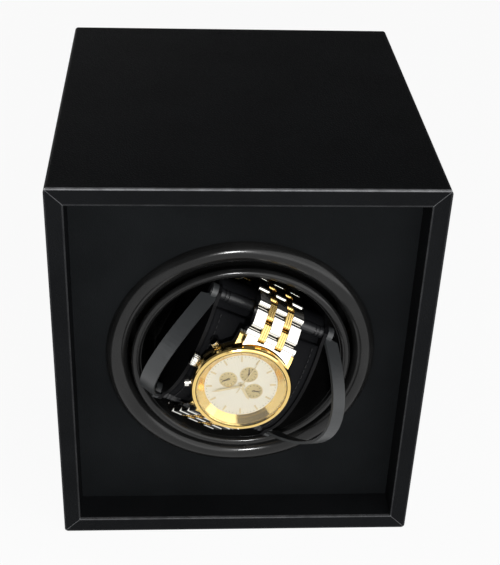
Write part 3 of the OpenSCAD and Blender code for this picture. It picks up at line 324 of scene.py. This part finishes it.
steel = metal("plated_steel", (0.62, 0.62, 0.64), 0.28)
bronze = metal("sintered_bronze", (0.6, 0.4, 0.18), 0.4)
acetal = moulded("natural_acetal", (0.8, 0.78, 0.7), 0.42)
housing = moulded("gearbox_nylon", (0.62, 0.62, 0.58), 0.5)
black_moulding = moulded("black_moulding", (0.012, 0.012, 0.013), 0.45)
insulation = moulded("wire_insulation", (0.35, 0.015, 0.012), 0.4)
solder_mask = moulded("solder_mask", (0.012, 0.1, 0.035), 0.3, 0.5)
dark_screw = metal("blackened_steel", (0.05, 0.05, 0.052), 0.4)
dress(steel, "gearbox_screws", "mounting_screws", "gear_pins", "motor_can", "motor_screws", "board_screws",
      "switch_body", "motor_shaft", "output_shaft", "hub_screw")
dress(bronze, "shaft_bushes", "motor_pinion")
dress(acetal, "first_gear", "second_gear", "output_gear", "board_spacers")
dress(housing, "gearbox_housing", "gearbox_cover")
dress(black_moulding, "board_components", "power_inlet", "switch_slider")
dress(insulation, "motor_wires")
dress(solder_mask, "circuit_board")
dress(dark_screw, "back_screws")


# ---- Cushion holder ----
# A moulded shell and the foam pad on its face are covered in soft leatherette, which is sewn along
# both sides of the pad. A moulded cheek closes each side, two ridge bars cross the face, and a
# satin spring strip is bowed between the bars' ends on each side.

TURN = math.radians(24.5)
HOLDER = Matrix.Translation((0, -BOX_D / 2, AXIS_Z)) @ Matrix.Rotation(TURN, 4, "Y")


def build(name, matrix, points, faces, finish, body, slot):
    """A smooth mesh from points in a local frame, which rides on a body."""
    mesh = bpy.data.meshes.new(name)
    mesh.from_pydata([tuple(matrix @ Vector(p)) for p in points], [], faces)
    mesh.materials.append(finish.material)
    piece = bpy.data.objects.new(name, mesh)
    bpy.context.scene.collection.objects.link(piece)
    mesh.shade_smooth()
    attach(piece, body)
    return piece


PAD_RADIUS = 0.03625
PAD_CENTRE = 0.03075
PAD_HALF_W = 0.023
PAD_THICK = 0.004
PAD_HALF_L = 0.0242
PAD_HALF_TURN = math.asin(PAD_HALF_L / PAD_RADIUS)
CROWN = 0.0011
SEAM_AT = 0.88
SEAM_DEPTH = 0.00035
SEAM_SPREAD = 0.03
PUCKER = 0.00008
PUCKER_RATE = 95
PUCKER_SPREAD = 0.09
TUCK_SIDES = 0.992
TUCK_ENDS = 0.985
BACK_CLEAR = 0.0002
pad_skin = leatherette("pad_leatherette", (0.0058, 0.006, 0.0068), 0.0009, 0.5)


def pad_point(x, turn, lift):
    """A point of the pad's face: across, round and out from the surface."""
    r = PAD_RADIUS + lift
    return (x, PAD_CENTRE - r * math.cos(turn), r * math.sin(turn))


def pad_rise(s, t):
    """How high the pad's face stands, for shares -1 to 1 of its half width and half length."""
    off_seam = abs(s) - SEAM_AT
    crown = CROWN * ((1 - abs(s) ** 6) * (1 - abs(t) ** 8)) ** 0.5 - CROWN
    gully = SEAM_DEPTH * math.exp(-(off_seam / SEAM_SPREAD) ** 2)
    pucker = PUCKER * math.sin(t * PUCKER_RATE) * math.exp(-(off_seam / PUCKER_SPREAD) ** 2)
    return crown - gully + pucker


def pad_mesh(across=44, along=72):
    """The pad as a closed crowned slab with tucked edges and a seam gully near each side."""
    places = [(-1 + 2 * i / across, -1 + 2 * j / along) for i in range(across + 1) for j in range(along + 1)]
    front = [pad_point(s * PAD_HALF_W, t * PAD_HALF_TURN, pad_rise(s, t)) for s, t in places]
    back = [pad_point(s * PAD_HALF_W * TUCK_SIDES, t * PAD_HALF_TURN * TUCK_ENDS, BACK_CLEAR - PAD_THICK)
            for s, t in places]
    row = along + 1
    layer = len(front)
    faces = []
    for i in range(across):
        for j in range(along):
            a = i * row + j
            faces.append((a, a + 1, a + row + 1, a + row))
            faces.append((layer + a, layer + a + row, layer + a + row + 1, layer + a + 1))
    rim = [i * row for i in range(across)] + [across * row + j for j in range(along)]
    rim += [i * row + along for i in range(across, 0, -1)] + list(range(along, 0, -1))
    for a, b in zip(rim, rim[1:] + rim[:1]):
        faces.append((a, b, layer + b, layer + a))
    return front + back, faces


pad = build("cushion_cover", HOLDER, *pad_mesh(), pad_skin, "holder", "cushion_pad")
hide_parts("cushion_pad")

thread = Finish("sewing_thread", Roughness=0.7, Specular_IOR_Level=0.3)
strand = thread.noise(0.0003, 2, 0.5)
thread.put("Base Color", thread.blend(strand, (0.012, 0.012, 0.013), (0.024, 0.024, 0.026)))
thread.relief(strand, 0.00005, 0.6)

STITCH_L = 0.0015
STITCH_R = 0.00019
STITCH_RISE = 0.00025
STITCHED_SHARE = 0.95


def stitches(count=21, sides=6, steps=5):
    """Short stitches sunk at both ends in the gully along each side of the pad."""
    points = []
    faces = []
    middles = [PAD_HALF_TURN * STITCHED_SHARE * (-1 + 2 * (k + 0.5) / count) for k in range(count)]
    for x, middle in [(side * SEAM_AT * PAD_HALF_W, middle) for side in (-1, 1) for middle in middles]:
        start = len(points)
        for i in range(steps + 1):
            u = -1 + 2 * i / steps
            turn = middle + u * STITCH_L / 2 / PAD_RADIUS
            lift = STITCH_RISE * (1 - u * u) - SEAM_DEPTH
            for q in range(sides):
                angle = 2 * math.pi * q / sides
                over = STITCH_R * math.cos(angle)
                out = STITCH_R * math.sin(angle)
                points.append(pad_point(x + over, turn, lift + out))
        for i in range(steps):
            for q in range(sides):
                a = start + i * sides + q
                b = start + i * sides + (q + 1) % sides
                faces.append((a, b, b + sides, a + sides))
        end = start + steps * sides
        faces.append(tuple(range(start, start + sides))[::-1])
        faces.append(tuple(range(end, end + sides)))
    return points, faces


build("cushion_stitches", HOLDER, *stitches(), thread, "holder", "cushion_pad")

holder_plastic = moulded("holder_satin_plastic", (0.004, 0.004, 0.0046), 0.5, 0.08)
bar_plastic = moulded("ridge_bar_plastic", (0.014, 0.0145, 0.016), 0.32, 0.5)
dress(pad_skin, "holder_shell")
dress(holder_plastic, "holder_cheeks")
dress(bar_plastic, "ridge_bars")

strip = Finish("satin_spring_strip", Specular_IOR_Level=0.6)
brushed = strip.noise(0.0005, 3, 0.6, (1, 0.3, 0.12))
strip.put("Base Color", strip.blend(brushed, (0.021, 0.023, 0.024), (0.034, 0.036, 0.038)))
strip.put("Roughness", brushed * 0.14 + 0.3)
strip.relief(brushed, 0.00002, 0.3)
dress(strip, "left_spring", "right_spring")


# ---- Watch case and bezel ----
# The case is milled and polished steel. Its wide bezel and its lugs are gold plated and polished,
# and the crown and pushers are steel.

BAND_X = -0.0038
BAND_SKEW = math.radians(5.5)
WATCH_UP = 0.0028
WATCH_TILT = math.radians(2)
WATCH_SEAT = 0.0003
PLATED_FROM = 0.0028
BAND = HOLDER @ Matrix.Translation((BAND_X, 0, 0)) @ Matrix.Rotation(BAND_SKEW, 4, "Y")
WATCH = (BAND @ Matrix.Translation((0, PAD_CENTRE, 0)) @ Matrix.Rotation(-WATCH_TILT, 4, "X")
         @ Matrix.Translation((0, -PAD_RADIUS - WATCH_SEAT, WATCH_UP))
         @ Matrix.Rotation(math.radians(90), 4, "X"))
WATCH_AT = WATCH.translation
WATCH_X, WATCH_Y, WATCH_Z = (WATCH.to_3x3() @ Vector(v) for v in ((1, 0, 0), (0, 1, 0), (0, 0, 1)))


def polished(name, colour, rough=0.08):
    """Bright plated metal with hairline scratches and faint finger smears."""
    plate = Finish(name, Metallic=1.0)
    hairs = plate.noise(0.0004, 4, 0.7, (1, 0.2, 1))
    smears = plate.noise(0.006, 2, 0.5)
    plate.put("Base Color", plate.blend(smears.ramp(0.3, 0.7), tuple(c * 0.93 for c in colour), colour))
    plate.put("Roughness", smears * hairs * 0.08 + rough)
    plate.relief(hairs, 0.000004, 0.3)
    return plate


GOLD_TONE = (0.93, 0.66, 0.24)
STEEL_TONE = (0.85, 0.83, 0.78)
gold = polished("gold_plate", GOLD_TONE)
bright_steel = polished("polished_steel", STEEL_TONE)
case_plate = polished("two_tone_case", STEEL_TONE)
gilt_part = case_plate.along(WATCH_Z, WATCH_AT).above(PLATED_FROM, 0.0002)
case_plate.put("Base Color", case_plate.blend(gilt_part, STEEL_TONE, GOLD_TONE))
dress(gold, "watch_bezel")
dress(case_plate, "watch_case")
dress(bright_steel, "watch_crown", "start_pusher", "reset_pusher", "crown_stem")

crystal = Finish("mineral_crystal", Transmission_Weight=1.0, IOR=1.45, Roughness=0.0)
crystal_dust = crystal.noise(0.004, 2)
crystal.put("Base Color", crystal.blend(crystal_dust, (0.97, 0.98, 1.0), (1.0, 1.0, 1.0)))
dress(crystal, "watch_crystal")


# ---- Dial and hands ----
# A silvered brass dial with a fine sunburst carries gilt bars and three sunk small dials, which
# are gilt with turned rings. The hands are stamped, gilt at the centre and bronzed in the small dials.

TRACK_R = 0.01365
SUB_PITCH = 0.0059
SUB_R = 0.0033
SUB_TRACK_R = 0.00265
GROOVE_PITCH = 0.0003
dial = Finish("silvered_dial", Specular_IOR_Level=0.5)
dial_x = dial.along(WATCH_X, WATCH_AT)
dial_y = dial.along(WATCH_Y, WATCH_AT)


def reach_from(x, y):
    """Distance over the dial from a point of it."""
    across = dial_x - x
    upward = dial_y - y
    return (across * across + upward * upward).math("SQRT")


def ticks(x, y, count, half, soft):
    """Evenly spaced radial strokes round a point; half is a share of their spacing."""
    bearing = (dial_x - x).math("ARCTAN2", dial_y - y)
    return (bearing * (count / (2 * math.pi)) + (count + 0.5)).math("FRACT").near(0.5, half, soft)


rays = dial.node("ShaderNodeTexNoise", {"noise_dimensions": "1D"}, {
    "W": dial_x.math("ARCTAN2", dial_y) * 60, "Scale": 1.0, "Detail": 3})
track = ticks(0, 0, 60, 0.05, 0.03) * reach_from(0, 0).near(TRACK_R, 0.00025, 0.0001)
face = dial.blend(rays.ramp(0.35, 0.65), (0.9, 0.84, 0.66), (0.97, 0.91, 0.75))
face = dial.blend(track, face, (0.25, 0.2, 0.12))
for sub_x, sub_y in ((-SUB_PITCH, 0), (0, SUB_PITCH), (SUB_PITCH, 0)):
    reach = reach_from(sub_x, sub_y)
    grooves = (reach * (2 * math.pi / GROOVE_PITCH)).math("SINE") * 0.5 + 0.5
    mark = ticks(sub_x, sub_y, 12, 0.07, 0.04) * reach.near(SUB_TRACK_R, 0.00035, 0.0001)
    gilt = dial.blend(grooves, (0.56, 0.44, 0.19), (0.7, 0.56, 0.27))
    gilt = dial.blend(mark, gilt, (0.08, 0.055, 0.02))
    face = dial.blend(1 - reach.above(SUB_R, 0.00008), face, gilt)
dial.put("Base Color", face)
dial.put("Roughness", rays * 0.15 + 0.3)
dial.put("Metallic", 0.2)
dial.relief(rays, 0.00001, 0.4)
dress(dial, "watch_dial")

gilt_hands = metal("gilt_stamping", (0.86, 0.72, 0.42), 0.36)
bronzed = metal("bronzed_stamping", (0.12, 0.08, 0.04), 0.3)
dress(gilt_hands, "dial_markers", "hour_hand", "minute_hand", "seconds_hand")
dress(bronzed, "subdial_hand_left", "subdial_hand_top", "subdial_hand_right")


# ---- Bracelet ----
# Solid polished steel links alternate with fluted gold-plated ones on spring pins. The folding
# clasp at the back is brushed steel.

dress(bright_steel, "bracelet_links")
dress(gold, "bracelet_inlays")
clasp_steel = metal("brushed_clasp_steel", (0.6, 0.6, 0.6), 0.3, 0.0005, (1, 0.1, 0.1))
dress(clasp_steel, "bracelet_clasp")
soften("bracelet_links", 0.00018, 2, 40)


# ---- Studio ----
# The box stands on a pale paper floor that sweeps up far away. A small lamp shines from near the
# lens, a large softbox stands at the right and a low one behind, in a dim surround.

SWEEP = [(0.001, 0), (5, 0), (6.2, 0.08), (7.1, 0.4), (7.7, 1.0), (8, 2.4)]
SWEEP_SIDES = 96
BACKDROP_SHARE = 0.93


def swept_disc():
    """Rings of points from the middle out, as a disc that turns up at its rim."""
    turns = [2 * math.pi * k / SWEEP_SIDES for k in range(SWEEP_SIDES)]
    points = [(r * math.cos(turn), r * math.sin(turn), z) for r, z in SWEEP for turn in turns]
    faces = []
    for ring in range(len(SWEEP) - 1):
        for k in range(SWEEP_SIDES):
            a = ring * SWEEP_SIDES + k
            b = ring * SWEEP_SIDES + (k + 1) % SWEEP_SIDES
            faces.append((a, b, b + SWEEP_SIDES, a + SWEEP_SIDES))
    faces.append(tuple(range(SWEEP_SIDES)))
    return points, faces


sweep_points, sweep_faces = swept_disc()
floor_mesh = bpy.data.meshes.new("floor")
floor_mesh.from_pydata(sweep_points, [], sweep_faces)
floor_mesh.shade_smooth()
floor = bpy.data.objects.new("floor", floor_mesh)
bpy.context.scene.collection.objects.link(floor)
paper = Finish("floor_paper", Roughness=0.9)
mottle = paper.noise(0.4, 2)
paper.put("Base Color", paper.blend(mottle, (0.88, 0.88, 0.88), (0.9, 0.9, 0.9)))
glow = paper.node("ShaderNodeEmission", {}, {"Color": (1, 1, 1)})
seen = (paper.node("ShaderNodeLightPath", out="Is Camera Ray")
        + paper.node("ShaderNodeLightPath", out="Is Glossy Ray")
        + paper.node("ShaderNodeLightPath", out="Is Transmission Ray"))
mixed = paper.node("ShaderNodeMixShader", {}, {
    0: seen.math("MINIMUM", 1) * BACKDROP_SHARE, 1: Wire(paper, paper.shader.outputs["BSDF"]), 2: glow})
paper.tree.links.new(mixed.socket, paper.tree.nodes["Material Output"].inputs["Surface"])
floor_mesh.materials.append(paper.material)

world = bpy.data.worlds.new("surround")
bpy.context.scene.world = world
world.use_nodes = True
dim = world.node_tree.nodes["Background"]
dim.inputs["Color"].default_value = (0.96, 0.98, 1.0, 1)
dim.inputs["Strength"].default_value = 0.13

LAMP_AIM = Vector((0, -0.05, 0.09))


def lamp(name, place, width, height, watts):
    """A rectangular lamp, aimed at the drum, that the camera doesn't see."""
    light = bpy.data.lights.new(name, "AREA")
    light.shape = "RECTANGLE"
    light.size = width
    light.size_y = height
    light.energy = watts
    stand = bpy.data.objects.new(name, light)
    stand.location = place
    stand.rotation_euler = (LAMP_AIM - Vector(place)).to_track_quat("-Z", "Y").to_euler()
    stand.visible_camera = False
    bpy.context.scene.collection.objects.link(stand)


lamp("lens_lamp", (-0.03, -0.85, 0.42), 0.06, 0.04, 4.3)
lamp("side_softbox", (0.76, -0.97, 0.56), 1.8, 1.0, 10.0)
lamp("back_softbox", (-0.5, 1.3, 0.16), 1.0, 0.25, 3.0)

CAMERA_AT = (-0.02787, -0.44333, 0.37223)
YAW = math.radians(3.73)
PITCH = math.radians(31.68)
ROLL = math.radians(2.08)
look = Vector((math.sin(YAW) * math.cos(PITCH), math.cos(YAW) * math.cos(PITCH), -math.sin(PITCH)))
level = Vector((math.cos(YAW), -math.sin(YAW), 0))
rise = level.cross(look)
side = math.cos(ROLL) * level + math.sin(ROLL) * rise
up = -math.sin(ROLL) * level + math.cos(ROLL) * rise
lens = bpy.data.cameras.new("lens")
lens.sensor_width = 36
lens.lens = 72.81
lens.shift_x = 0.02356
lens.shift_y = -0.06296
lens.clip_start = 0.01
camera = bpy.data.objects.new("camera", lens)
camera.matrix_world = Matrix.Translation(CAMERA_AT) @ Matrix((side, up, -look)).transposed().to_4x4()
bpy.context.scene.collection.objects.link(camera)
bpy.context.scene.camera = camera
bpy.context.scene.view_settings.view_transform = "Standard"
